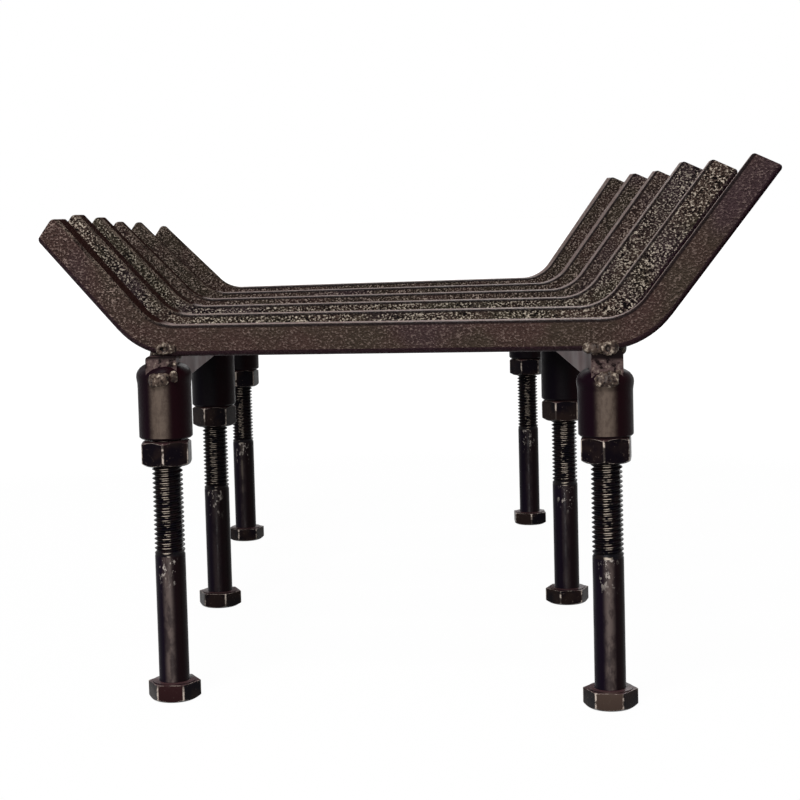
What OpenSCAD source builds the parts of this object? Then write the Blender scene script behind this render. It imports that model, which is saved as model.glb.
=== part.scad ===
// Log grate: six bent square bars welded across two square crossbars, which
// stand on six hex bolts screwed head down into welded sleeves, each with a
// lock nut. The bars run along X with their taller arms at +X, and they fan
// out towards that end. All sizes are in millimetres; Z = 0 is the hearth.

/* [Bars] */
// Side of the square bar stock
bar_size = 12.7; // [10:0.1:16]
// Radius along the four long edges of a bar
bar_edge_r = 2.2; // [0.5:0.1:3]
// Distance between the centres of the outer bars at the left crossbar
spread_left = 370; // [300:1:420]
// Distance between the centres of the outer bars at the right crossbar
spread_right = 430; // [380:1:520]

/* [Arms] */
// Inner radius of the left bends
bend_r_left = 20; // [14:0.5:26]
// Inner radius of the right bends
bend_r_right = 22; // [14:0.5:28]
// How far the corner of the left bend lies outside the left crossbar's centre
corner_out_left = 8.1; // [7:0.1:20]
// How far the corner of the right bend lies outside the right crossbar's centre
corner_out_right = 16.7; // [10:0.1:30]
// Rise of the front bar's left arm from level, in degrees
left_angle_front = 48.5; // [40:0.5:60]
// Rise of the back bar's left arm from level, in degrees
left_angle_back = 45.5; // [40:0.5:60]
// Rise of the front bar's right arm from level, in degrees
right_angle_front = 52.5; // [40:0.5:65]
// Rise of the back bar's right arm from level, in degrees
right_angle_back = 53.5; // [40:0.5:65]
// Length of the front bar's left arm, from the bend's outer corner to the tip
left_arm_front = 68.5; // [50:0.5:110]
// Length of the back bar's left arm, from the bend's outer corner to the tip
left_arm_back = 65; // [50:0.5:110]
// Length of the right arms, from the bend's outer corner to the tip
right_arm = 88.4; // [60:0.2:130]
// Slant of the cut across the tips, in degrees from square
tip_slant = 12; // [0:1:20]
// Radius on the corners of the left tips
tip_r_left = 2.6; // [0.5:0.1:4]
// Radius on the corners of the right tips
tip_r_right = 1.5; // [0.5:0.1:4]

/* [Crossbars] */
// Distance between the centres of the two crossbars
crossbar_spacing = 180; // [150:1:240]
// Side of the square crossbar stock
crossbar_size = 12.7; // [10:0.1:16]
// Radius along the four long edges of a crossbar
crossbar_edge_r = 1.2; // [0.4:0.1:2]
// How far the outer legs stand in from the centres of the outer bars
leg_inset = 2.7; // [0:0.1:5]

/* [Sleeves] */
// Outside diameter of the threaded sleeves
sleeve_d = 22.2; // [19:0.1:26]
// Length of the front sleeves
sleeve_len_front = 21.8; // [18:0.2:30]
// Length of the middle sleeves
sleeve_len_middle = 27.4; // [18:0.2:30]
// Length of the back sleeves
sleeve_len_back = 25.4; // [18:0.2:30]
// Chamfer on the lower rim of a sleeve
sleeve_chamfer = 0.7; // [0.2:0.1:1.2]

/* [Bolts and nuts] */
// Nominal diameter of the bolts
bolt_d = 12.7; // [10:0.1:14]
// Length of a bolt under its head
bolt_len = 114.3; // [106:0.1:118]
// Room between the end of a bolt and the crossbar above it
bolt_room = 9.9; // [9.3:0.1:20]
// Width across the flats of the bolt heads and nuts
hex_af = 19.4; // [17:0.1:22]
// Height of a bolt head
head_h = 7.9; // [6:0.1:9]
// Height of a lock nut
nut_h = 10.8; // [7:0.1:12]
// How far the front left lock nut is backed off its sleeve
nut_gap = 0.8; // [0:0.1:2]

/* [Welds] */
// Radius of the beads between bars and crossbars
bar_bead_r = 3.2; // [2:0.1:4]
// Radius of the beads on the ends of the crossbars
end_bead_r = 4.6; // [3:0.1:6]
// How far such a bead runs past each side of the crossbar
end_bead_over = 1; // [0:0.1:2]
// Height of the collar of weld above a sleeve, up the sides of its crossbar
collar_h = 6.8; // [5:0.1:8]
// Radius of the rounded shoulder of a collar
collar_r = 4; // [2:0.1:4.5]
// How far a collar stands out past its sleeve
collar_bulge = 0.5; // [0.2:0.1:1.5]

/* [Fits] */
// Radial clearance between a bolt and the bores it runs in
thread_clearance = 0.05; // [0.02:0.01:0.08]

/* [Hidden] */

// Sides and rows, as they are numbered below
LEFT = 0;
RIGHT = 1;
FRONT = 0;
MIDDLE = 1;
BACK = 2;
LAST_BAR = 5;

// Colours of the finishes
BAR_BROWN = [0.17, 0.14, 0.12];
SLEEVE_BROWN = [0.2, 0.17, 0.15];
BOLT_BLACK = [0.07, 0.07, 0.08];
WELD_GREY = [0.33, 0.3, 0.27];

$fn = 96;
ROUND_FN = 32;
CUT = 1;                // how far a cutting solid runs past what it cuts
HEX_CHAMFER = 30;       // angle of the chamfer on heads and nuts, in degrees
WASHER_FACE = 0.4;      // height of the washer face under a bolt head
END_CHAMFER = 1.4;      // chamfer on the threaded end of a bolt
BORE_CHAMFER = 0.6;     // countersink at the mouth of a threaded bore
BEND_DRAW = 0.04;       // how much a bend thins on each side of the bar
BURY = 1;               // how far a bend runs into the straight runs, in degrees

// The bars were bent and welded by eye. These are the differences from an even
// row that the photo shows, for bars 1 to 6 at the left and at the right end:
// how much further out a bend's corner lies, and how much longer an arm is
CORNER_SHIFTS = [[-0.8, 0.7, 2.4, 5.3, 5.2, 2.5], [-1, -1.3, -0.8, 1.4, 1.5, 0]];
ARM_EXTRAS = [[-1, 2.6, 2, -0.2, 0, -2.8], [0.7, 0.7, 2.5, -0.6, -0.3, -1.1]];

// Where the middle legs stand from the middle of the left and right crossbar
MIDDLE_LEG_SHIFTS = [[2, -5], [1.3, -19]];

// The turn of each bolt head and lock nut about its leg, as each was left when
// it was tightened: front, middle and back, at the left and at the right
HEAD_TURNS = [[-4, -10, 10], [-9.5, 6.5, -29]];
NUT_TURNS = [[28.6, 7.8, 17.6], [18.8, 3.7, 6.9]];

// The bolts carry everything above the hearth
crossbar_bottom = head_h + bolt_len + bolt_room;
crossbar_top = crossbar_bottom + crossbar_size;
bar_height = crossbar_top;
sleeve_lens = [sleeve_len_front, sleeve_len_middle, sleeve_len_back];
bore_r = bolt_d / 2 + thread_clearance;
washer_face_d = 0.94 * hex_af;

function mix(a, b, t) = a + (b - a) * t;
function row_of(bar) = bar / LAST_BAR;
function spread(side) = side == LEFT ? spread_left : spread_right;

// The object's frame: X = 0 is midway between the ends of the bars
function reach(bar, side) =
    let (turn = fan(bar))
    tip_reach(bar, side) + crossbar_spacing / 2 + corner_out(bar, side)
    + bar_size / 2 * sin(abs(turn));
function tip_reach(bar, side) =
    let (rise = arm_angle(bar, side), r = tip_r(side))
    max([for (z = [r, bar_size - r])
        (tip_corner(arm_length(bar, side), side, z) * cos(rise) - z * sin(rise) + r)
    ]) * cos(fan(bar));
function longest(side) = max([for (bar = [0:LAST_BAR]) reach(bar, side)]);
mid_x = (longest(LEFT) - longest(RIGHT)) / 2;

function crossbar_x(side) = mid_x + (side == LEFT ? -1 : 1) * crossbar_spacing / 2;
function leg_at(side, row) = row == MIDDLE
    ? [crossbar_x(side), 0] + MIDDLE_LEG_SHIFTS[side]
    : [crossbar_x(side), (row - MIDDLE) * (spread(side) / 2 - leg_inset)];
function sleeve_bottom(row) = crossbar_bottom - sleeve_lens[row];

// Each bar's line in plan, its turn from X and its arms
function bar_y(bar, side) = (row_of(bar) - 0.5) * spread(side);
function fan(bar) = atan((bar_y(bar, RIGHT) - bar_y(bar, LEFT)) / crossbar_spacing);
function corner_out(bar, side) =
    (side == LEFT ? corner_out_left : corner_out_right) + CORNER_SHIFTS[side][bar];
function bend_r(side) = side == LEFT ? bend_r_left : bend_r_right;
function arm_angle(bar, side) = side == LEFT
    ? mix(left_angle_front, left_angle_back, row_of(bar))
    : mix(right_angle_front, right_angle_back, row_of(bar));
function arm_length(bar, side) = ARM_EXTRAS[side][bar] + (side == LEFT
    ? mix(left_arm_front, left_arm_back, row_of(bar))
    : right_arm);

// The tips are cut along parallel lines, so the slant runs out and up at the
// left end and out and down at the right
function tip_r(side) = side == LEFT ? tip_r_left : tip_r_right;
function slant(side) = side == LEFT ? tip_slant : -tip_slant;

// Distance along an arm to the centre of a rounded tip corner at height z
function tip_corner(length, side, z) =
    let (high = side == LEFT ? bar_size : 0)
    length + (z - high) * tan(slant(side)) - tip_r(side) / cos(slant(side));

// Cross-section of square stock with rounded edges, centred
module stock_section(size, r) {
    square([size, size - 2 * r], center = true);
    square([size - 2 * r, size], center = true);
    for (x = [-1, 1], y = [-1, 1])
        translate([x, y] * (size / 2 - r)) circle(r, $fn = ROUND_FN);
}

// Side view of a straight arm, from its bend at X = 0 to its slanted tip
module arm_outline(length, side) {
    r = tip_r(side);
    low = [tip_corner(length, side, r), r];
    high = [tip_corner(length, side, bar_size - r), bar_size - r];
    face = r * [cos(slant(side)), -sin(slant(side))];
    polygon([
        [-CUT, 0], [low.x, 0], low + face, high + face, [high.x, bar_size], [-CUT, bar_size]
    ]);
    for (corner = [low, high]) translate(corner) circle(r, $fn = ROUND_FN);
}

// A straight run of bar along X from the origin, underside at Z = 0
module straight_bar(length) {
    translate([0, 0, bar_size / 2]) rotate([90, 0, 90])
        linear_extrude(length) stock_section(bar_size, bar_edge_r);
}

// One bend and arm: the flat ends at X = 0 and the arm rises towards +X. The
// bend is drawn a hair thin, so both its ends bury in the straight runs.
module bend_and_arm(bar, side) {
    angle = arm_angle(bar, side);
    radius = bend_r(side);
    outer = radius + bar_size;
    arm = arm_length(bar, side) - outer * tan(angle / 2);
    translate([0, 0, outer]) {
        rotate([90, 0, 0]) rotate([0, 0, -90 - BURY])
            rotate_extrude(angle = angle + 2 * BURY)
            translate([radius + bar_size / 2, 0])
            stock_section(bar_size - 2 * BEND_DRAW, bar_edge_r);
        rotate([0, -angle, 0]) translate([0, 0, -outer]) intersection() {
            straight_bar(arm + CUT);
            rotate([90, 0, 0]) linear_extrude(bar_size + 2 * CUT, center = true)
                arm_outline(arm, side);
        }
    }
}

// Distance along a bar from the crossbars' midpoint to where its flat ends
function flat_end(bar, side) =
    (crossbar_spacing / 2 + corner_out(bar, side)) / cos(fan(bar))
    - (bend_r(side) + bar_size) * tan(arm_angle(bar, side) / 2);

// The whole bar is laid out from the end of its flat at the left bend
module bar(bar) {
    flat = flat_end(bar, LEFT) + flat_end(bar, RIGHT);
    color(BAR_BROWN)
        translate([mid_x, (bar_y(bar, LEFT) + bar_y(bar, RIGHT)) / 2, bar_height])
        rotate([0, 0, fan(bar)]) translate([-flat_end(bar, LEFT), 0, 0]) {
            straight_bar(flat);
            translate([flat, 0, 0]) bend_and_arm(bar, RIGHT);
            mirror([1, 0, 0]) bend_and_arm(bar, LEFT);
        }
}

// Half the length of a crossbar, whose ends are flush with the outer bars
function crossbar_half(side) = spread(side) / 2 + bar_size / 2 / cos(fan(LAST_BAR));

module crossbar(side) {
    color(BAR_BROWN)
        translate([crossbar_x(side), 0, crossbar_bottom + crossbar_size / 2])
        rotate([90, 0, 0]) linear_extrude(2 * crossbar_half(side), center = true)
            stock_section(crossbar_size, crossbar_edge_r);
}

// Places its children on the axis of one leg
module at_leg(side, row) {
    translate([each leg_at(side, row), 0]) children();
}

module sleeve(side, row) {
    length = sleeve_lens[row];
    r = sleeve_d / 2;
    color(SLEEVE_BROWN) at_leg(side, row) translate([0, 0, sleeve_bottom(row)])
        rotate_extrude() polygon([
            [bore_r + BORE_CHAMFER, 0], [r - sleeve_chamfer, 0], [r, sleeve_chamfer],
            [r, length], [bore_r, length], [bore_r, BORE_CHAMFER]
        ]);
}

// A hexagon prism with its corners turned down at the ends named by the flags
module hex_prism(height, bottom, top) {
    corner = hex_af / 2 / cos(30);
    flat = hex_af / 2 * 0.97;
    drop = (corner - flat) * tan(HEX_CHAMFER);
    low = bottom ? drop : 0;
    high = top ? height - drop : height;
    intersection() {
        cylinder(height, r = corner, $fn = 6);
        rotate_extrude() polygon([
            [0, 0], [bottom ? flat : corner, 0], [corner, low],
            [corner, high], [top ? flat : corner, height], [0, height]
        ]);
    }
}

module lock_nut(side, row) {
    gap = side == LEFT && row == FRONT ? nut_gap : 0;
    bottom = sleeve_bottom(row) - gap - nut_h;
    color(BOLT_BLACK) at_leg(side, row) translate([0, 0, bottom])
        difference() {
            rotate([0, 0, NUT_TURNS[side][row]]) hex_prism(nut_h, true, true);
            translate([0, 0, -CUT]) cylinder(nut_h + 2 * CUT, r = bore_r);
            for (z = [0, nut_h])
                translate([0, 0, z]) mirror([0, 0, z == 0 ? 0 : 1])
                translate([0, 0, -CUT])
                    cylinder(BORE_CHAMFER + CUT, r1 = bore_r + BORE_CHAMFER + CUT, r2 = bore_r);
        }
}

module leg_bolt(side, row) {
    color(BOLT_BLACK) at_leg(side, row) {
        rotate([0, 0, HEAD_TURNS[side][row]]) hex_prism(head_h - WASHER_FACE, true, false);
        rotate_extrude() polygon([
            [0, head_h - WASHER_FACE - CUT], [washer_face_d / 2, head_h - WASHER_FACE - CUT],
            [washer_face_d / 2, head_h], [bolt_d / 2, head_h],
            [bolt_d / 2, head_h + bolt_len - END_CHAMFER],
            [bolt_d / 2 - END_CHAMFER, head_h + bolt_len], [0, head_h + bolt_len]
        ]);
    }
}

// A row of weld ripples along X: the turned outline of overlapping rounds
module weld_bead(length, r) {
    ripples = 3;
    step = (length - 2 * r) / (ripples - 1);
    rotate([0, 90, 0]) rotate_extrude() intersection() {
        for (k = [0:ripples - 1])
            translate([0, r - length / 2 + k * step]) circle(r);
        translate([0, -length]) square([r + CUT, 2 * length]);
    }
}

// Beads along both sides of every bar where it crosses one crossbar
module bar_welds(side) {
    color(WELD_GREY) difference() {
        for (bar = [0:LAST_BAR], face = [-1, 1])
            translate([crossbar_x(side), bar_y(bar, side), crossbar_top])
                rotate([0, 0, fan(bar)]) translate([0, face * bar_size / 2, 0])
                weld_bead(crossbar_size, bar_bead_r);
        crossbar(side);
        for (bar = [0:LAST_BAR]) bar(bar);
    }
}

// Half section of the weld that stands on a sleeve, with a rounded shoulder
module collar_section() {
    outer = sleeve_d / 2 + collar_bulge;
    square([outer, collar_h - collar_r]);
    square([outer - collar_r, collar_h]);
    translate([outer - collar_r, collar_h - collar_r]) circle(collar_r);
}

// The welds that join the sleeves to the underside and sides of a crossbar
module sleeve_welds(side) {
    color(WELD_GREY) difference() {
        translate([0, 0, crossbar_bottom]) {
            for (row = [FRONT:BACK]) at_leg(side, row) rotate_extrude() collar_section();
            for (end = [-1, 1])
                translate([crossbar_x(side), end * (crossbar_half(side) - end_bead_r * 0.3),
                    end_bead_r * 0.4])
                weld_bead(crossbar_size + 2 * end_bead_over, end_bead_r);
        }
        crossbar(side);
        for (row = [FRONT:BACK])
            at_leg(side, row) translate([0, 0, crossbar_bottom - sleeve_lens[row]])
                cylinder(sleeve_lens[row], d = sleeve_d);
    }
}

bar(0);  // bar_1
bar(1);  // bar_2
bar(2);  // bar_3
bar(3);  // bar_4
bar(4);  // bar_5
bar(5);  // bar_6
crossbar(LEFT);  // crossbar_left
crossbar(RIGHT);  // crossbar_right
sleeve(LEFT, FRONT);  // sleeve_front_left
sleeve(LEFT, MIDDLE);  // sleeve_middle_left
sleeve(LEFT, BACK);  // sleeve_back_left
sleeve(RIGHT, FRONT);  // sleeve_front_right
sleeve(RIGHT, MIDDLE);  // sleeve_middle_right
sleeve(RIGHT, BACK);  // sleeve_back_right
lock_nut(LEFT, FRONT);  // lock_nut_front_left
lock_nut(LEFT, MIDDLE);  // lock_nut_middle_left
lock_nut(LEFT, BACK);  // lock_nut_back_left
lock_nut(RIGHT, FRONT);  // lock_nut_front_right
lock_nut(RIGHT, MIDDLE);  // lock_nut_middle_right
lock_nut(RIGHT, BACK);  // lock_nut_back_right
leg_bolt(LEFT, FRONT);  // leg_bolt_front_left
leg_bolt(LEFT, MIDDLE);  // leg_bolt_middle_left
leg_bolt(LEFT, BACK);  // leg_bolt_back_left
leg_bolt(RIGHT, FRONT);  // leg_bolt_front_right
leg_bolt(RIGHT, MIDDLE);  // leg_bolt_middle_right
leg_bolt(RIGHT, BACK);  // leg_bolt_back_right
bar_welds(LEFT);  // bar_welds_left
bar_welds(RIGHT);  // bar_welds_right
sleeve_welds(LEFT);  // sleeve_welds_left
sleeve_welds(RIGHT);  // sleeve_welds_right
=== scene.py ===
# Log grate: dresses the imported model. The bars, crossbars and sleeves are the CAD
# solids with painted finishes; the bolts get real threads, the nuts rounded and
# worn edges, and the welds the lumps of a hand-laid bead. Lengths are in metres.
import math
import random

import bmesh
import bpy
import numpy as np
from mathutils import Matrix, Vector, noise


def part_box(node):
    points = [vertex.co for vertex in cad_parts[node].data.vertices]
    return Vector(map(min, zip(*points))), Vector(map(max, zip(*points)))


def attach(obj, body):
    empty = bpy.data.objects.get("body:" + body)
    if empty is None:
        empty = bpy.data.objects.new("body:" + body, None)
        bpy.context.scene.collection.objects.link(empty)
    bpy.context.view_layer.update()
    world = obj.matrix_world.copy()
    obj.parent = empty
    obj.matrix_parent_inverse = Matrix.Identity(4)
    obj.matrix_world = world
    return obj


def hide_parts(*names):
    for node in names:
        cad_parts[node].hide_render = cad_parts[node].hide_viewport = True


MM = 0.001
FRONT = (-0.1, -0.995, 0)   # the way the painted highlight bands on round pieces face
SIDES = ("left", "right")
ROWS = ("front", "middle", "back")
LEGS = [f"{row}_{side}" for side in SIDES for row in ROWS]

# Fasteners
BOLT_R = 12.7 / 2 * MM
THREAD_PITCH = 25.4 / 13 * MM
THREAD_DEPTH = 1.1 * MM
SHANK_LENGTH = 53 * MM
HEAD_H = 7.9 * MM
WASHER_FACE = 0.4 * MM
HEX_AF = 19.4 * MM
HEX_CORNER_R = 0.5 * MM
HEX_FACE = 0.91         # width of the round face inside the chamfer, against the flats
EDGE_R = 0.22 * MM
WASHER_R = 0.94 * HEX_AF / 2
FOOT_RING_R = 0.3 * HEX_AF  # a turn of mesh inside the foot of a head
THREAD_CREST = 0.125        # shares of the pitch
THREAD_ROOT = 0.17
THREAD_RUN_OUT = 1.6 * THREAD_PITCH
BORE_R = 6.4 * MM
BORE_LEAD = 0.6 * MM
NUT_CLEARANCE = 0.03 * MM   # so that a nut run up to its sleeve only just meets it
TIP_CHAMFER = 1.4 * MM
SCUFF_REACH = 16 * MM
WEAR = "wear"           # the mesh attribute that marks worn edges

# Welds. A front bead runs from one place to another along its bar, measured from
# the crossbar's middle, at a height above the crossbar, and ends in a ring with
# its place, half width and half height
BARS = 6
BAR_SIZE = 12.7 * MM
FRONT_BEADS = {
    "left": (0.5 * MM, 6.6 * MM, 3.2 * MM, 2.1 * MM, (3.2 * MM, 2.6 * MM, 1.7 * MM)),
    "right": (-6.5 * MM, 3.6 * MM, 1.2 * MM, 3 * MM, (1.4 * MM, 1.9 * MM, 2.1 * MM)),
}
# The masses of weld on a crossbar's end faces, in millimetres: place along X, height
# above the crossbar's underside, half width, half height, and how far it stands out
FRONT_END_WELDS = {
    "left": ((-1, 3.4, 4.9, 3.9, 1.5), (5.1, 4.6, 1.7, 3.1, 1.2), (5.7, 9.6, 0.9, 1.7, 0.8)),
    "right": ((-0.4, 1.6, 5.7, 4.2, 1.6), (4.4, 4.4, 1.5, 1.3, 1)),
}
BACK_END_WELD = ((0.4, 2, 5.4, 4, 1.6),)
# A collar's section over its leg's sleeve, in millimetres out from the sleeve's side
# and up from the collar's base, and the height of that base above the sleeve's top
COLLAR_SECTION = (
    (0.06, 0), (0.16, 0.8), (0.34, 1.8), (0.48, 3), (0.4, 4.3), (-0.1, 5.5),
    (-1.1, 6.8), (-2.4, 7.7), (-4, 8.3), (-6, 8.6),
)
COLLAR_RISE = {"front_left": 0.9, "front_right": -3.1}
COLLAR_RISE_ELSEWHERE = -1
COLLAR_ANGLES = 72
# How welds are built up: the length of a ripple and the radius of a hidden bead, the
# number and size of the blobs in a ring, the size and spacing of those in a mass, and
# the two scales of noise that roughen them
RIPPLE = 2.2 * MM
PLAIN_BEAD_R = 2.8 * MM
RING_BLOBS = 11
RING_BLOB_R = (0.75 * MM, 1.15 * MM)
MASS_BLOB_R = 1.9 * MM
MASS_SPACING = 0.9 * MM
WELD_VOXEL = 0.36 * MM
MASS_RELIEF = 0.42 * MM
BEAD_RELIEF = 0.24 * MM
SWELL_COARSE = 300
SWELL_FINE = 850

# The photograph's camera
PICTURE = 800
SENSOR = 36
FOCAL_PX = 1779.6
AXIS_PX = 335.9
CAMERA_AT = Vector((0.1, -920.4, 201.8)) * MM
YAW = math.radians(0.125)
PITCH = math.radians(4)
ROLL = math.radians(1.471)

# The studio: light that reaches the object from all round, and how the floor is
# mixed from paper that takes a shadow and plain white
AMBIENT = 0.07
FLOOR_TONE = 0.16
FLOOR_GLOW = 1.15
# The share of plain white in the floor, near the object and far from it
FLOOR_WHITE_SHARE = (0.85, 1)
FLOOR_NEAR_AND_FAR = (0.5, 2)
FLOOR_REACH = 30.0
LAMPS_AIM_AT = Vector((0, 0, 0.12))
# Name, place, size (width, height) and power of each softbox
SOFTBOXES = (
    ("front_softbox", (-0.2, -1.5, 0.42), (0.3, 0.3), 8.5),
    ("key_softbox", (-0.35, -0.9, 1.3), (0.45, 0.45), 16),
    ("back_softbox", (0.5, 1.5, 1.1), (0.9, 0.9), 12),
)

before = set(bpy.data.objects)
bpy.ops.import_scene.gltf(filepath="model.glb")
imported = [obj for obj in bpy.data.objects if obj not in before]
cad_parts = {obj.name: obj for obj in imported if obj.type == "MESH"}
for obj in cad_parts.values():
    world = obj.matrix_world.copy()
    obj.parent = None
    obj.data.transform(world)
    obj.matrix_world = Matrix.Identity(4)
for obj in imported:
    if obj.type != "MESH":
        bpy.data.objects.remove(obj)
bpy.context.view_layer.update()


# ---------------------------------------------------------------- materials
class Finish:
    """A material and short ways to add nodes to it."""

    def __init__(self, name, **surface):
        self.material = bpy.data.materials.new(name)
        self.material.use_nodes = True
        self.nodes = self.material.node_tree.nodes
        self.links = self.material.node_tree.links
        self.surface = self.nodes["Principled BSDF"]
        found = self.nodes.new("ShaderNodeTexCoord").outputs
        self.place = found["Object"]
        self.spread = found["Generated"]
        for socket, value in surface.items():
            self.surface.inputs[socket.replace("_", " ")].default_value = value

    def add(self, kind, inputs, **settings):
        node = self.nodes.new("ShaderNode" + kind)
        for key, value in settings.items():
            setattr(node, key, value)
        for key, value in inputs.items():
            socket = node.inputs[key]
            if isinstance(value, bpy.types.NodeSocket):
                self.links.new(value, socket)
            else:
                socket.default_value = value
        return node

    def noise(self, scale, detail=2, roughness=0.5, stretch=None):
        place = self.place
        if stretch:
            place = self.add("Mapping", {"Vector": place, "Scale": stretch}).outputs[0]
        return self.add(
            "TexNoise",
            {"Vector": place, "Scale": scale, "Detail": detail, "Roughness": roughness},
        ).outputs["Fac"]

    def remap(self, value, low, high, to_low=0.0, to_high=1.0):
        """Takes low to to_low and high to to_high, smoothly and no further."""
        inputs = {0: value, 1: low, 2: high, 3: to_low, 4: to_high}
        return self.add("MapRange", inputs, interpolation_type="SMOOTHSTEP").outputs[0]

    def maths(self, operation, a, b):
        return self.add("Math", {0: a, 1: b}, operation=operation).outputs[0]

    def times(self, a, b):
        return self.maths("MULTIPLY", a, b)

    def blend(self, factor, a, b):
        node = self.add("Mix", {0: factor}, data_type="RGBA")
        for socket, value in ((node.inputs[6], a), (node.inputs[7], b)):
            if isinstance(value, bpy.types.NodeSocket):
                self.links.new(value, socket)
            else:
                socket.default_value = value
        return node.outputs[2]

    def bump(self, height, depth, strength=1.0):
        inputs = {"Height": height, "Distance": depth, "Strength": strength}
        return self.add("Bump", inputs).outputs["Normal"]

    def worn(self, low, high):
        """1 on the edges that a piece's mesh marks as worn."""
        mark = self.add("Attribute", {}, attribute_name=WEAR).outputs["Fac"]
        return self.remap(mark, low, high)

    def way(self, axis):
        """How far the surface faces along X, Y or Z, from -1 to 1."""
        normal = self.add("NewGeometry", {}).outputs["Normal"]
        return self.add("SeparateXYZ", {0: normal}).outputs[axis]

    def front(self, low, high):
        """1 where an upright surface faces the front or the back, 0 on its sides."""
        normal = self.add("NewGeometry", {}).outputs["Normal"]
        same = self.add("VectorMath", {0: normal, 1: FRONT}, operation="DOT_PRODUCT")
        return self.remap(self.maths("ABSOLUTE", same.outputs["Value"], 0), low, high)

    def feed(self, **sockets):
        """Joins the sockets of the shader and gives the finished material."""
        for socket, value in sockets.items():
            self.links.new(value, self.surface.inputs[socket.replace("_", " ")])
        return self.material


def srgb(r, g, b):
    """A colour from 0-255 picture values, as linear RGBA."""
    def linear(c):
        c /= 255
        return c / 12.92 if c <= 0.04045 else ((c + 0.055) / 1.055) ** 2.4

    return (linear(r), linear(g), linear(b), 1)


SOOT = srgb(9, 4, 11)
RUST = srgb(34, 24, 22)


def bar_paint(name, crests, tint=(1, 1, 1), at_left=None):
    """Dark heat-proof paint over rolled steel: a crinkle, with painted highlight on its crests
    and painted shade in its pits. The rounded edges carry painted shade, with painted
    highlight lines in patches on the upper edges of the left arms' inner faces, and the
    undersides carry painted shade; the top faces carry painted light from above, turned to
    painted shade on the inner faces of the left arms. Crests says how much the crinkle
    shows, also on the left arm."""
    def shade(r, g, b):
        return srgb(r * tint[0], g * tint[1], b * tint[2])

    f = Finish(name)
    warm = f.remap(f.noise(34, 3), 0.4, 0.6)
    cool = f.remap(f.noise(21, 2, 0.5, (1, 1.3, 0.8)), 0.5, 0.66)
    lumps = f.noise(980, 2, 0.55, (1, 1, 1.35))
    grain = f.noise(1500, 2, 0.6)
    clumps = f.remap(f.noise(120, 3, 0.6), 0.36, 0.6)
    tone = f.blend(warm, shade(70, 54, 49), shade(64, 55, 46))
    tone = f.blend(cool, tone, shade(64, 50, 52))
    if at_left is not None:
        along = f.add("SeparateXYZ", {0: f.spread}).outputs[0]
        crests = f.remap(along, 0.2, 0.1, crests, at_left)
    lively = f.times(f.remap(clumps, 0, 1, 0.6, 1), crests)
    # Painted shade in the crinkle's pits, and painted highlight on its crests below
    low = f.maths("MAXIMUM", f.remap(lumps, 0.49, 0.42), f.remap(grain, 0.4, 0.34))
    tone = f.blend(f.times(low, lively), tone, shade(3, 1, 2))
    crest_highlight = f.times(f.remap(lumps, 0.54, 0.61), f.remap(grain, 0.36, 0.5))
    tone = f.blend(f.times(crest_highlight, lively), tone, shade(186, 168, 156))

    side = f.maths("ABSOLUTE", f.way(1), 0)
    up = f.way(2)
    rounding = f.times(f.remap(side, 0.97, 0.8), f.remap(side, 0.12, 0.3))
    over = f.times(rounding, f.remap(up, 0.05, 0.25))
    under = f.times(f.remap(side, 0.9995, 0.985), f.remap(up, -0.01, -0.06))
    topside = f.times(f.remap(side, 0.3, 0.12), f.remap(up, 0.05, 0.25))
    inside_left = f.remap(f.way(0), 0.1, 0.4)
    # Upper rounded edges: painted shade, with painted highlight in patches on the inner faces of
    # the left arms
    painted_highlight = f.times(f.remap(grain, 0.42, 0.56), f.remap(clumps, 0, 1, 0.3, 0.8))
    edge = f.blend(f.times(inside_left, painted_highlight), srgb(14, 6, 8), srgb(138, 122, 110))
    tone = f.blend(f.times(over, 0.9), tone, edge)
    # Painted shade over the lower rounded edges and the undersides
    tone = f.blend(f.times(under, 0.85), tone, srgb(36, 18, 27))
    # Top faces: painted light from above, and painted shade where they turn to the inner faces of
    # the left arms
    top_light_and_shade = f.blend(inside_left, srgb(134, 108, 102), srgb(40, 22, 20))
    lit_top = f.times(topside, f.remap(inside_left, 0, 1, 0.6, 0.9))
    tone = f.blend(lit_top, tone, top_light_and_shade)

    relief = f.maths("ADD", f.times(lumps, 2), grain)
    rough = f.remap(f.noise(330, 2), 0.3, 0.7, 0.36, 0.52)
    gloss = f.remap(inside_left, 0, 1, 0.04, 0)
    normal = f.bump(relief, 0.6 * MM, 1.0)
    return f.feed(
        Base_Color=tone, Roughness=rough, Specular_IOR_Level=gloss, Normal=normal,
    )


def crossbar_paint(name, shadow_from):
    """The crossbars are smooth bar under thin paint. Their end faces are flecked and dark in
    patches, and carry a painted shadow from a share of their height upwards."""
    f = Finish(name, Specular_IOR_Level=0.04)
    tone = f.blend(f.remap(f.noise(45, 3), 0.4, 0.6), srgb(78, 58, 58), srgb(86, 64, 64))
    end_face = f.front(0.9, 0.99)
    tone = f.blend(end_face, tone, srgb(88, 72, 70))
    scale = f.noise(480, 4, 0.65)
    # The end faces' tops are painted dark as the shadow under the bar and bead; below that they
    # are dark in random patches, and flecked
    high = f.remap(f.add("SeparateXYZ", {0: f.spread}).outputs[2], shadow_from, shadow_from + 0.12)
    dark_patches_and_shadow = f.times(f.maths("MAXIMUM", f.remap(scale, 0.5, 0.4), high), end_face)
    tone = f.blend(dark_patches_and_shadow, tone, srgb(18, 9, 10))
    clear = f.times(f.remap(high, 0.5, 0), end_face)
    flecks = f.times(f.remap(scale, 0.56, 0.66, 0, 0.7), clear)
    tone = f.blend(flecks, tone, srgb(150, 136, 124))
    rough = f.remap(f.noise(60, 2), 0.3, 0.7, 0.44, 0.54)
    normal = f.bump(scale, 0.12 * MM, 0.4)
    return f.feed(Base_Color=tone, Roughness=rough, Normal=normal)


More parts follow.
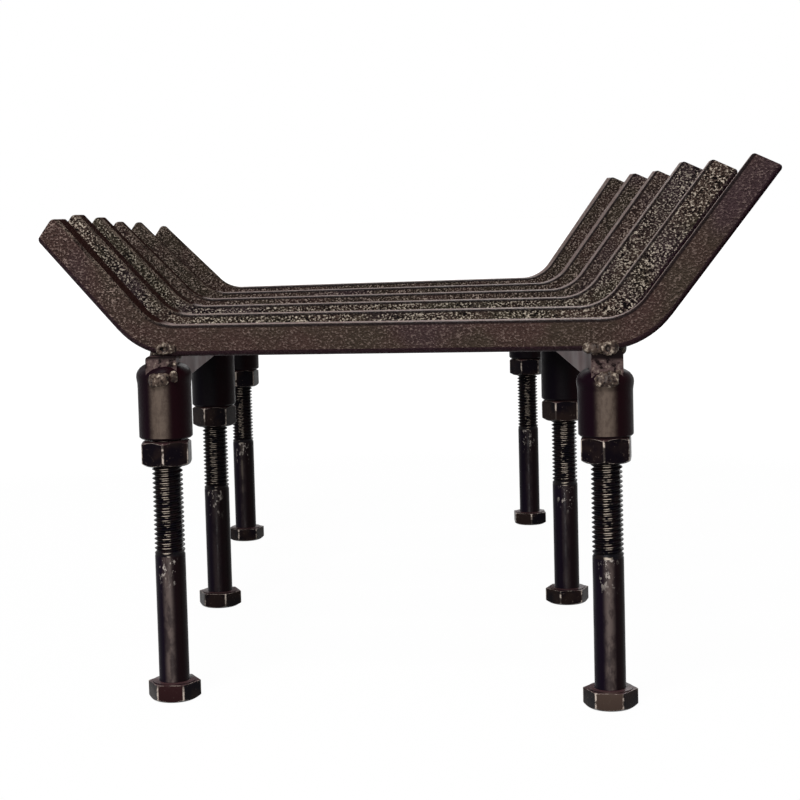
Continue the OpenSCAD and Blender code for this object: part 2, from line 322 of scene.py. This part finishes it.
def sleeve_paint(name, dark, light):
    """The same paint on smooth turned tube, with a painted highlight band down its front and
    back and painted shade on its -X side.
    """
    f = Finish(name, Specular_IOR_Level=0.03)
    dust_and_highlight = f.noise(1300, 3, 0.6)
    streaks = f.noise(520, 3, 0.6, (1, 1, 0.5))
    # Painted shade: darker and more purple on the side facing -X, warmer and a little lighter
    # towards +X
    tone = f.blend(f.remap(f.way(0), -0.6, 0.6, 0, 0.5), dark, srgb(26, 6, 6))
    # A painted highlight band down the front and back, with lighter flecks in it
    soft = f.maths("POWER", f.front(0.78, 1.0), 6)
    painted_highlight = f.times(soft, f.remap(streaks, 0.34, 0.6, 0.68, 1))
    tone = f.blend(painted_highlight, tone, light)
    tone = f.blend(f.times(f.remap(dust_and_highlight, 0.55, 0.72), painted_highlight), tone, light)
    rough = f.remap(f.noise(260, 2), 0.3, 0.7, 0.34, 0.46)
    normal = f.bump(dust_and_highlight, 0.2 * MM, 0.5)
    return f.feed(Base_Color=tone, Roughness=rough, Normal=normal)


def black_oxide(name, clean, rusty, face=None):
    """Blackened heads and nuts: dark and oily, worn to bare steel on their edges, with
    painted light on the faces that look upwards. A face is the colour painted on the flat
    towards the front as painted light, where it differs."""
    f = Finish(name, Specular_IOR_Level=0.03)
    patches = f.remap(f.noise(70, 3), 0.42, 0.6)
    tone = f.blend(patches, clean, rusty)
    if face is not None:
        # Painted light on the flat towards the front
        tone = f.blend(f.times(f.front(0.86, 0.97), 0.9), tone, face)
    tone = f.blend(f.remap(f.noise(900, 3, 0.6), 0.62, 0.74), tone, srgb(80, 68, 62))
    # Painted light on the faces that look upwards
    tone = f.blend(f.remap(f.way(2), 0.5, 0.9), tone, srgb(66, 46, 48))
    chafed = f.remap(f.noise(300, 4, 0.65), 0.44, 0.58, 0.06, 1)
    tone = f.blend(f.times(f.worn(0.4, 1), chafed), tone, srgb(205, 190, 178))
    rough = f.remap(f.noise(180, 3), 0.3, 0.7, 0.2, 0.36)
    normal = f.bump(f.noise(900, 3), 0.12 * MM, 0.35)
    return f.feed(Base_Color=tone, Roughness=rough, Normal=normal)


def shank_oxide(name, dust_and_highlight):
    """The plain shanks: a ragged painted highlight band and line down the front and back, and
    scuffed to bright steel near the thread, where the wrench and the nut have been."""
    f = Finish(name, Specular_IOR_Level=0.04)
    # Painted shade: more purple on the side facing -X, redder towards +X
    tone = f.blend(f.remap(f.way(0), -0.6, 0.6), srgb(13, 5, 18), srgb(16, 5, 7))
    ragged = f.noise(240, 4, 0.65, (1, 1, 0.45))
    soft = f.maths("POWER", f.front(0.8, 1.0), 5)
    # A ragged painted highlight band down the front and back, and a painted highlight line at its
    # middle, as strong as the share given
    highlight_band = f.times(soft, f.remap(ragged, 0.4, 0.6, 0.35, 1))
    tone = f.blend(f.times(highlight_band, dust_and_highlight), tone, srgb(96, 84, 80))
    line = f.times(f.front(0.99, 0.9985), f.remap(ragged, 0.36, 0.5, 0.1, 0.95))
    tone = f.blend(f.times(line, dust_and_highlight), tone, srgb(150, 138, 124))
    height = f.add("SeparateXYZ", {0: f.place}).outputs[2]
    top = HEAD_H + SHANK_LENGTH
    near = f.remap(height, top - SCUFF_REACH, top - 0.3 * SCUFF_REACH)
    flecks = f.remap(f.noise(520, 4, 0.7, (1, 1, 0.6)), 0.56, 0.62)
    scuffs = f.times(near, f.times(flecks, f.front(0.7, 0.97)))
    tone = f.blend(f.times(scuffs, 0.8), tone, srgb(190, 180, 172))
    rough = f.remap(f.noise(180, 3), 0.3, 0.7, 0.2, 0.4)
    normal = f.bump(f.noise(900, 3), 0.1 * MM, 0.3)
    return f.feed(Base_Color=tone, Roughness=rough, Normal=normal)


def thread_oxide():
    """The threads: black and oily, with a painted glint on the crests down the front and back."""
    f = Finish("thread_oxide", Specular_IOR_Level=0.06)
    tone = f.blend(f.remap(f.noise(300, 3), 0.35, 0.65), srgb(8, 6, 12), srgb(22, 14, 15))
    # A painted glint on the crests down the front and back
    glint = f.times(f.front(0.94, 0.995), f.remap(f.noise(300, 2), 0.38, 0.52))
    tone = f.blend(glint, tone, srgb(205, 190, 174))
    rough = f.remap(f.noise(400, 2), 0.3, 0.7, 0.2, 0.4)
    return f.feed(Base_Color=tone, Roughness=rough)


def weld_steel():
    """Weld metal under thin paint: painted shade in the hollows, dark in random patches, and
    painted highlight on the ridges with bright flecks there.
    """
    f = Finish("weld_steel", Specular_IOR_Level=0.12)
    mottle = f.noise(560, 4, 0.65)
    ridge = f.add("NewGeometry", {}).outputs["Pointiness"]
    tone = f.blend(f.remap(f.noise(160, 2), 0.4, 0.6), srgb(82, 68, 60), srgb(60, 48, 42))
    # Painted highlight: lighter on the ridges, with bright flecks there
    tone = f.blend(f.remap(ridge, 0.51, 0.58, 0, 0.6), tone, srgb(128, 112, 98))
    bright = f.times(f.remap(mottle, 0.52, 0.6), f.remap(ridge, 0.5, 0.54))
    tone = f.blend(bright, tone, srgb(176, 162, 146))
    tone = f.blend(f.remap(mottle, 0.46, 0.38), tone, srgb(28, 18, 16))
    # Painted shade: near black in the hollows
    tone = f.blend(f.remap(ridge, 0.494, 0.45), tone, srgb(8, 4, 5))
    rough = f.remap(f.noise(500, 2), 0.3, 0.7, 0.26, 0.46)
    normal = f.bump(mottle, 0.35 * MM, 0.8)
    return f.feed(Base_Color=tone, Roughness=rough, Normal=normal)


# ---------------------------------------------------------------- fasteners
def hex_outline(turn):
    """Angles round a hexagon, its radius at each with rounded corners, and 1 on the corners."""
    corner = HEX_AF / 2 / math.cos(math.pi / 6)
    centre = corner - HEX_CORNER_R / math.sin(math.pi / 3)
    touch = math.atan2(HEX_CORNER_R / 2, centre + HEX_CORNER_R * math.cos(math.pi / 6))
    near = [-3 * touch, -touch, -touch / 2, 0, touch / 2, touch, 3 * touch]
    far = np.linspace(3 * touch, math.pi / 3 - 3 * touch, 7)[1:-1]
    angles, radii, worn = [], [], []
    for k in range(6):
        for past in np.concatenate([near, far]):
            angles.append(turn + k * math.pi / 3 + past)
            on_corner = abs(past) <= touch
            if on_corner:
                across = centre * math.sin(past)
                radii.append(centre * math.cos(past) + math.sqrt(HEX_CORNER_R**2 - across**2))
            else:
                from_flat = past - math.copysign(math.pi / 6, past)
                radii.append(HEX_AF / 2 / math.cos(from_flat))
            worn.append(1.0 if on_corner else 0.0)
    return np.array(angles), np.array(radii), np.array(worn)


def ring(radius, height, count, corner=0, edge=0):
    """One turn of a mesh: radius, height and wear at each angle, and its wear as an edge."""
    columns = [np.broadcast_to(value, count) for value in (radius, height, corner, edge)]
    return np.stack(columns, axis=1).astype(float)


def softened(profile, radius, steps=3):
    """Rounds the inner corners of a list of rings, and marks the middle of each as worn."""
    rings = [profile[0]]
    for before, here, after in zip(profile, profile[1:], profile[2:]):
        ends = []
        for other in (before, after):
            way = (other - here)[:, :2]
            length = np.linalg.norm(way, axis=1, keepdims=True)
            end = here.copy()
            end[:, :2] += way / length * np.minimum(radius, length * 0.4)
            end[:, 3] = 0
            ends.append(end)
        for t in np.linspace(0, 1, steps):
            bent = ends[0] * (1 - t) ** 2 + 2 * here * t * (1 - t) + ends[1] * t**2
            bent[:, 2] = np.maximum(here[:, 2], here[:, 3] if 0 < t < 1 else 0)
            rings.append(bent)
    return rings + [profile[-1]]


def hex_rings(radii, worn, height, bottom, top):
    """The outside of a hexagon from its bottom face to its top face, with turned-down corners."""
    flat = HEX_AF / 2 * HEX_FACE
    count = len(radii)
    drop = np.maximum(radii - flat, 0) * math.tan(math.pi / 6)
    rings = []
    if bottom:
        rings += [ring(flat, 0, count, 0, 0.6), ring(radii, drop, count, worn, 1)]
    else:
        rings += [ring(radii, 0, count, worn, 1)]
    if top:
        rings += [ring(radii, height - drop, count, worn, 1), ring(flat, height, count, 0, 0.6)]
    else:
        rings += [ring(radii, height, count, worn, 1)]
    return rings


def thread_rings(angles, start, end):
    """Rows of a screw thread: (radius, height) at each angle, and the rows per turn."""
    turn = (angles - angles[0]) / (2 * math.pi)
    flank = (1 - THREAD_CREST - THREAD_ROOT) / 2
    stops = [(0, 0), (THREAD_CREST, 0), (THREAD_CREST + flank, 1), (1 - flank, 1)]
    turns = math.ceil((end - start) / THREAD_PITCH) + 1
    rows = []
    for k in range(-1, turns):
        for at, deep in stops:
            z = np.clip(start + THREAD_PITCH * (k + at + turn), start, end)
            fade = np.clip((z - start) / THREAD_RUN_OUT, 0, 1)
            r = BOLT_R - THREAD_DEPTH * deep * fade
            r = np.minimum(r, BOLT_R - TIP_CHAMFER + (end - z))
            rows.append(ring(r, z, len(angles)))
    return rows, len(stops)


def spin(name, angles, sections, axis_at, caps=(True, True)):
    """A closed mesh through rings about a vertical axis. A section is (rings, twist), where
    twist says how many rows further up the seam joins, as a screw thread needs."""
    count = len(angles)
    cos, sin = np.cos(angles), np.sin(angles)
    points, faces, wear = [], [], []
    for rings, twist in sections:
        first = len(points)
        for r in rings:
            points += list(np.stack([r[:, 0] * cos, r[:, 0] * sin, r[:, 1]], axis=1))
            wear += list(r[:, 2])
        for i in range(len(rings) - 1 - twist):
            for k in range(count):
                over = (k + 1) // count * twist
                a = first + i * count + k
                b = first + (i + over) * count + (k + 1) % count
                faces.append((a, b, b + count, a + count))
    if caps[0]:
        faces.append(tuple(range(count))[::-1])
    if caps[1]:
        faces.append(tuple(range(len(points) - count, len(points))))
    mesh = bpy.data.meshes.new(name)
    mesh.from_pydata([tuple(p + axis_at) for p in np.array(points)], [], faces)
    mesh.attributes.new(WEAR, "FLOAT", "POINT").data.foreach_set("value", wear)
    piece = bpy.data.objects.new(name, mesh)
    bpy.context.scene.collection.objects.link(piece)
    clean(mesh)
    return piece


def clean(mesh, angle=32):
    """Joins the points that meet, drops faces without area and shades smooth up to an angle."""
    bm = bmesh.new()
    bm.from_mesh(mesh)
    bmesh.ops.remove_doubles(bm, verts=bm.verts, dist=1e-6)
    bmesh.ops.dissolve_degenerate(bm, edges=bm.edges, dist=1e-6)
    bmesh.ops.recalc_face_normals(bm, faces=bm.faces)
    for face in bm.faces:
        face.smooth = True
    for edge in bm.edges:
        if len(edge.link_faces) == 2 and edge.calc_face_angle(0) > math.radians(angle):
            edge.smooth = False
    bm.to_mesh(mesh)
    bm.free()


def corner_turn(node):
    """The angle of a hexagon's corners about its leg, read from the CAD node."""
    low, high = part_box(node)
    middle = (low + high) / 2
    points = np.array([v.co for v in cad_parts[node].data.vertices]) - np.array(middle)
    far = points[np.hypot(points[:, 0], points[:, 1]).argmax()]
    return math.atan2(far[1], far[0])


def leg_axis(leg):
    """Where a leg's axis meets the floor."""
    low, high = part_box("leg_bolt_" + leg)
    return np.array([(low.x + high.x) / 2, (low.y + high.y) / 2, 0])


def threaded_bolt(leg, head_material, shank_material, thread_material):
    """A leg: a hex head as the foot, a plain shank and a rolled thread, in one closed mesh."""
    node = "leg_bolt_" + leg
    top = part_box(node)[1].z
    angles, radii, worn = hex_outline(corner_turn(node))
    count = len(angles)
    hex_top = HEAD_H - WASHER_FACE
    shank_top = HEAD_H + SHANK_LENGTH
    body = [ring(FOOT_RING_R, 0, count)]
    body += hex_rings(radii, worn, hex_top, True, False)
    body += [ring(WASHER_R, hex_top, count), ring(WASHER_R, HEAD_H, count, 0, 0.5)]
    body += [ring(BOLT_R, HEAD_H, count), ring(BOLT_R, shank_top, count)]
    rows, twist = thread_rings(angles, shank_top, top)
    sections = [(softened(body, EDGE_R), 0), (rows, twist)]
    piece = spin("threaded_bolt_" + leg, angles, sections, leg_axis(leg))
    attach(piece, node)
    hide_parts(node)
    for material in (head_material, shank_material, thread_material):
        piece.data.materials.append(material)
    for face in piece.data.polygons:
        height = face.center.z
        face.material_index = int(height > HEAD_H) + int(height > shank_top)


def hex_nut(leg, material):
    """A lock nut with countersunk ends to its bore, as a ring of mesh with no caps."""
    node = "lock_nut_" + leg
    low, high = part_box(node)
    angles, radii, worn = hex_outline(corner_turn(node))
    count = len(angles)
    height = high.z - low.z - NUT_CLEARANCE
    mouth = BORE_R + BORE_LEAD
    rings = [ring(BORE_R, BORE_LEAD, count), ring(mouth, 0, count)]
    rings += hex_rings(radii, worn, height, True, True)
    rings += [ring(mouth, height, count), ring(BORE_R, height - BORE_LEAD, count)]
    rings = softened(rings, EDGE_R)
    rings.append(rings[0])
    foot = leg_axis(leg) + np.array([0, 0, low.z])
    piece = spin("hex_nut_" + leg, angles, [(rings, 0)], foot, (False, False))
    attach(piece, node)
    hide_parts(node)
    piece.data.materials.append(material)


# ---------------------------------------------------------------- welds
def lumpy(name, node, blobs, material, relief):
    """Melts a list of (centre, radii, turn) blobs into one skin and roughens it."""
    bm = bmesh.new()
    for centre, radii, turn in blobs:
        place = Matrix.Translation(centre) @ Matrix.Rotation(turn, 4, "Z")
        bmesh.ops.create_icosphere(
            bm, subdivisions=2, radius=1, matrix=place @ Matrix.Diagonal((*radii, 1))
        )
    mesh = bpy.data.meshes.new(name)
    bm.to_mesh(mesh)
    bm.free()
    piece = bpy.data.objects.new(name, mesh)
    bpy.context.scene.collection.objects.link(piece)
    remesh = piece.modifiers.new("skin", "REMESH")
    remesh.mode = "VOXEL"
    remesh.voxel_size = WELD_VOXEL
    skin = bpy.data.meshes.new_from_object(
        piece.evaluated_get(bpy.context.evaluated_depsgraph_get())
    )
    piece.modifiers.clear()
    piece.data = skin
    bpy.data.meshes.remove(mesh)
    skin.name = name
    normals = [v.normal.copy() for v in skin.vertices]
    for vertex, normal in zip(skin.vertices, normals):
        coarse = noise.noise(vertex.co * SWELL_COARSE)
        swell = coarse + 0.7 * noise.noise(vertex.co * SWELL_FINE)
        vertex.co += normal * relief * swell
    for face in skin.polygons:
        face.use_smooth = True
    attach(piece, "grate")
    skin.materials.append(material)
    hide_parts(node)


def bead(start, end, radius, rng):
    """A run of weld from one point to another, one blob for each ripple."""
    along = end - start
    count = max(3, round(along.length / RIPPLE))
    turn = math.atan2(along.y, along.x)
    blobs = []
    for k in range(count):
        at = start + along * (k / (count - 1))
        at += Vector([rng.uniform(-0.3, 0.3) * MM for _ in range(3)])
        size = radius * rng.uniform(0.85, 1.12)
        blobs.append((at, (size * 0.8, size * 0.85, size * rng.uniform(0.85, 1.05)), turn))
    return blobs


def curl(centre, wide, high, rng):
    """The ring that the arc leaves where a bead ends, on a face that looks along Y."""
    blobs = []
    for k in range(RING_BLOBS):
        angle = k / RING_BLOBS * 2 * math.pi
        at = centre + Vector((wide * math.cos(angle), 0, high * math.sin(angle)))
        size = rng.uniform(*RING_BLOB_R)
        blobs.append((at, (size, size * 1.1, size), 0))
    return blobs


def mass(centre, wide, high, proud, seat, rng):
    """A craggy lump over an oval patch round a place (x, z). A seat gives the surface's y."""
    blobs = []
    for _ in range(max(2, round(wide * high / MASS_SPACING**2))):
        angle, far = rng.uniform(0, 2 * math.pi), math.sqrt(rng.random())
        size = min(MASS_BLOB_R, wide, high) * rng.uniform(0.7, 1.1)
        x = centre[0] + (wide - size) * far * math.cos(angle)
        z = centre[1] + (high - size) * far * math.sin(angle)
        deep = proud * rng.uniform(0.75, 1.1)
        blobs.append((Vector((x, seat(x, z), z)), (size, deep, size * 0.9), 0))
    return blobs


def crossbar_top(side):
    """The middle of a crossbar's top face, and half its width and length."""
    low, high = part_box("crossbar_" + side)
    return Vector(((low.x + high.x) / 2, 0, high.z)), (high.x - low.x) / 2, high.y


def bar_line(bar):
    """Slope and offset of a bar's centre line in plan, from the CAD mesh."""
    points = np.array([v.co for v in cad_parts[f"bar_{bar}"].data.vertices])
    return np.polyfit(points[:, 0], points[:, 1], 1)


def bar_welds(side, material):
    """Beads along both faces of every bar. The front ones are as the photograph shows."""
    rng = random.Random(side)
    top, half, _ = crossbar_top(side)
    blobs = []
    for bar in range(1, BARS + 1):
        slope, offset = bar_line(bar)
        along = Vector((1, slope, 0)).normalized()
        across = Vector((-slope, 1, 0)).normalized()
        for face in (-1, 1):
            at = top + Vector((0, offset + slope * top.x, 0)) + across * face * BAR_SIZE / 2
            if bar == 1 and face == -1:
                start, end, rise, radius, (ring_at, wide, high) = FRONT_BEADS[side]
                at.z += rise
                blobs += bead(at + along * start, at + along * end, radius, rng)
                ring_middle = at + along * ring_at - across * radius * 0.75
                blobs += curl(ring_middle, wide, high, rng)
            else:
                reach = half * rng.uniform(0.75, 1.0)
                blobs += bead(at - along * reach, at + along * reach, PLAIN_BEAD_R, rng)
    lumpy("bead_welds_" + side, "bar_welds_" + side, blobs, material, BEAD_RELIEF)


def end_welds(side, material):
    """The lumps on the two end faces of a crossbar, where the outer sleeves are welded on."""
    rng = random.Random("end " + side)
    top, _, length = crossbar_top(side)
    low = top.z - BAR_SIZE
    blobs = []
    for row, end, lumps in (("front", -1, FRONT_END_WELDS[side]), ("back", 1, BACK_END_WELD)):
        leg = f"{row}_{side}"
        middle, sleeve_top, radius = sleeve_rim(leg)
        outs, ups, _ = np.transpose(collar_section(leg))

        def seat(x, z):
            """The y of whichever stands further out: the crossbar's end or the collar."""
            reach = radius + np.interp((z - sleeve_top) / MM, ups, outs) * MM
            round_collar = math.sqrt(max(reach**2 - (x - middle.x) ** 2, 0))
            return end * max(length, abs(middle.y) + round_collar)

        for across, rise, wide, high, proud in lumps:
            centre = (top.x + across * MM, low + rise * MM)
            blobs += mass(centre, wide * MM, high * MM, proud * MM, seat, rng)
    lumpy("end_welds_" + side, "sleeve_welds_" + side, blobs, material, MASS_RELIEF)


def sleeve_rim(leg):
    """A sleeve's middle, the height of its top and its outer radius."""
    low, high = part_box("sleeve_" + leg)
    return (low + high) / 2, high.z, (high.x - low.x) / 2


def collar_section(leg):
    """(out, up, share of its height) at each turn of a collar, in millimetres."""
    rise = COLLAR_RISE.get(leg, COLLAR_RISE_ELSEWHERE)
    base = min(rise, -0.4)
    section = [(-4, base, 0), (0.06, base, 0)]
    return section + [(out, rise + up, up / COLLAR_SECTION[-1][1]) for out, up in COLLAR_SECTION]


def collar(leg, material):
    """The rounded, painted-over weld on top of a sleeve, uneven round the crossbar."""
    middle, sleeve_top, outer = sleeve_rim(leg)
    angles = np.linspace(0, 2 * math.pi, COLLAR_ANGLES, endpoint=False)
    sway = np.array([
        noise.noise((math.cos(a) * 0.9 + middle.x * 40, math.sin(a) * 0.9, middle.y * 40))
        for a in angles
    ])
    rings = []
    for out, up, share in collar_section(leg):
        radius = outer + (out + 0.6 * sway * share) * MM
        rings.append(ring(radius, (up + 1.2 * sway * share) * MM, len(angles)))
    rings.append(rings[0])
    foot = np.array([middle.x, middle.y, sleeve_top])
    piece = spin("collar_" + leg, angles, [(rings, 0)], foot, (False, False))
    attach(piece, "grate")
    piece.data.materials.append(material)


# ---------------------------------------------------------------- studio
def background_rays(tree):
    """A socket that is 1 for the rays that see the background: camera, glossy, transmission."""
    path = tree.nodes.new("ShaderNodeLightPath")
    seen = path.outputs["Is Camera Ray"]
    for other in ("Is Glossy Ray", "Is Transmission Ray"):
        add = tree.nodes.new("ShaderNodeMath")
        add.operation = "MAXIMUM"
        tree.links.new(seen, add.inputs[0])
        tree.links.new(path.outputs[other], add.inputs[1])
        seen = add.outputs[0]
    return seen


def surroundings():
    """Soft light from all round, which background rays see as plain white."""
    world = bpy.data.worlds.new("studio")
    bpy.context.scene.world = world
    world.use_nodes = True
    tree = world.node_tree
    background = tree.nodes["Background"]
    background.inputs["Color"].default_value = (1, 1, 1, 1)
    strength = tree.nodes.new("ShaderNodeMapRange")
    strength.inputs["To Min"].default_value = AMBIENT
    strength.inputs["To Max"].default_value = 1.0
    tree.links.new(background_rays(tree), strength.inputs["Value"])
    tree.links.new(strength.outputs[0], background.inputs["Strength"])


def white_floor():
    """A pale floor that takes a shadow near the object and turns plain white far from it."""
    mesh = bpy.data.meshes.new("floor")
    far = FLOOR_REACH
    corners = [(-far, -far, 0), (far, -far, 0), (far, far, 0), (-far, far, 0)]
    mesh.from_pydata(corners, [], [(0, 1, 2, 3)])
    floor = bpy.data.objects.new("floor", mesh)
    bpy.context.scene.collection.objects.link(floor)
    paper = bpy.data.materials.new("floor_paper")
    paper.use_nodes = True
    tree = paper.node_tree
    tree.nodes.clear()
    out = tree.nodes.new("ShaderNodeOutputMaterial")
    diffuse = tree.nodes.new("ShaderNodeBsdfDiffuse")
    diffuse.inputs["Color"].default_value = (FLOOR_TONE, FLOOR_TONE, FLOOR_TONE, 1)
    glow = tree.nodes.new("ShaderNodeEmission")
    glow.inputs["Color"].default_value = (1, 1, 1, 1)
    glow.inputs["Strength"].default_value = FLOOR_GLOW
    mix = tree.nodes.new("ShaderNodeMixShader")
    away = tree.nodes.new("ShaderNodeVectorMath")
    away.operation = "LENGTH"
    place = tree.nodes.new("ShaderNodeNewGeometry").outputs["Position"]
    tree.links.new(place, away.inputs[0])
    white = tree.nodes.new("ShaderNodeMapRange")
    limits = (*FLOOR_NEAR_AND_FAR, *FLOOR_WHITE_SHARE)
    for socket, value in zip(("From Min", "From Max", "To Min", "To Max"), limits):
        white.inputs[socket].default_value = value
    tree.links.new(away.outputs["Value"], white.inputs["Value"])
    share = tree.nodes.new("ShaderNodeMath")
    share.operation = "MULTIPLY"
    tree.links.new(background_rays(tree), share.inputs[0])
    tree.links.new(white.outputs[0], share.inputs[1])
    tree.links.new(share.outputs[0], mix.inputs[0])
    tree.links.new(diffuse.outputs[0], mix.inputs[1])
    tree.links.new(glow.outputs[0], mix.inputs[2])
    tree.links.new(mix.outputs[0], out.inputs[0])
    mesh.materials.append(paper)


def softboxes():
    """The area lights, aimed at the middle of the object."""
    for name, at, size, watts in SOFTBOXES:
        lamp = bpy.data.lights.new(name, "AREA")
        lamp.shape = "RECTANGLE"
        lamp.size, lamp.size_y = size
        lamp.energy = watts
        holder = bpy.data.objects.new(name, lamp)
        holder.location = at
        aim = LAMPS_AIM_AT - Vector(at)
        holder.rotation_euler = aim.to_track_quat("-Z", "Y").to_euler()
        bpy.context.scene.collection.objects.link(holder)


def camera():
    """The photograph's camera, with its turn, tilt and lean."""
    ahead = Vector(
        (math.sin(YAW) * math.cos(PITCH), math.cos(YAW) * math.cos(PITCH), -math.sin(PITCH))
    )
    level = ahead.cross(Vector((0, 0, 1))).normalized()
    raised = level.cross(ahead)
    right = level * math.cos(ROLL) - raised * math.sin(ROLL)
    up = raised * math.cos(ROLL) + level * math.sin(ROLL)
    data = bpy.data.cameras.new("camera")
    data.sensor_width = SENSOR
    data.lens = FOCAL_PX * SENSOR / PICTURE
    data.shift_y = (AXIS_PX - PICTURE / 2) / PICTURE
    data.clip_start, data.clip_end = 0.05, 100
    holder = bpy.data.objects.new("camera", data)
    holder.matrix_world = Matrix.Translation(CAMERA_AT) @ Matrix(
        (right, up, -ahead)
    ).transposed().to_4x4()
    bpy.context.scene.collection.objects.link(holder)
    bpy.context.scene.camera = holder


# ---------------------------------------------------------------- build
paints = {
    "bar": bar_paint("bar_paint", 0.75),
    "bar_1": bar_paint("bar_paint_smooth", 0.25, (1, 0.97, 0.98), at_left=0.45),
    "bar_2": bar_paint("bar_paint_rough", 1.0, (1.1, 1.14, 1.12)),
    "bar_3": bar_paint("bar_paint_coarse", 1.0, (1.06, 1.1, 1.08)),
    "crossbar_left": crossbar_paint("crossbar_paint_left", 0.86),
    "crossbar_right": crossbar_paint("crossbar_paint_right", 0.68),
    # The middle and back sleeves are a darker copy of the sleeve paint, as painted shade
    "sleeve": sleeve_paint("sleeve_paint_shaded", srgb(6, 3, 9), srgb(16, 13, 16)),
    "front_sleeve": sleeve_paint("sleeve_paint", srgb(17, 4, 12), srgb(100, 87, 78)),
    "oxide": black_oxide("black_oxide", SOOT, RUST),
    # The front heads carry painted light on their front flats
    "head_front_left": black_oxide("black_oxide_lit_face_reddish", SOOT, RUST, srgb(46, 25, 26)),
    "head_front_right": black_oxide("black_oxide_lit_face_olive", SOOT, RUST, srgb(74, 60, 53)),
    # The front shanks get the painted highlight band at full strength, the others at a fifth
    "shank": shank_oxide("shank_oxide", 0.2),
    "front_shank": shank_oxide("shank_oxide_highlight_band", 1),
    "thread": thread_oxide(),
    "weld": weld_steel(),
}
for name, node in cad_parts.items():
    kind = (
        "bar" if name.startswith("bar_") and "welds" not in name
        else name if name.startswith("crossbar")
        else "weld" if "welds" in name
        else "front_sleeve" if name.startswith("sleeve_front")
        else "sleeve" if name.startswith("sleeve")
        else "oxide"
    )
    node.data.materials.clear()
    node.data.materials.append(paints.get(name, paints[kind]))

for leg in LEGS:
    front = "front_" if leg.startswith("front") else ""
    head = paints.get("head_" + leg, paints["oxide"])
    threaded_bolt(leg, head, paints[front + "shank"], paints["thread"])
    hex_nut(leg, paints["oxide"])
    collar(leg, paints[front + "sleeve"])
for side in SIDES:
    bar_welds(side, paints["weld"])
    end_welds(side, paints["weld"])

surroundings()
white_floor()
softboxes()
camera()
bpy.context.scene.view_settings.view_transform = "Standard"
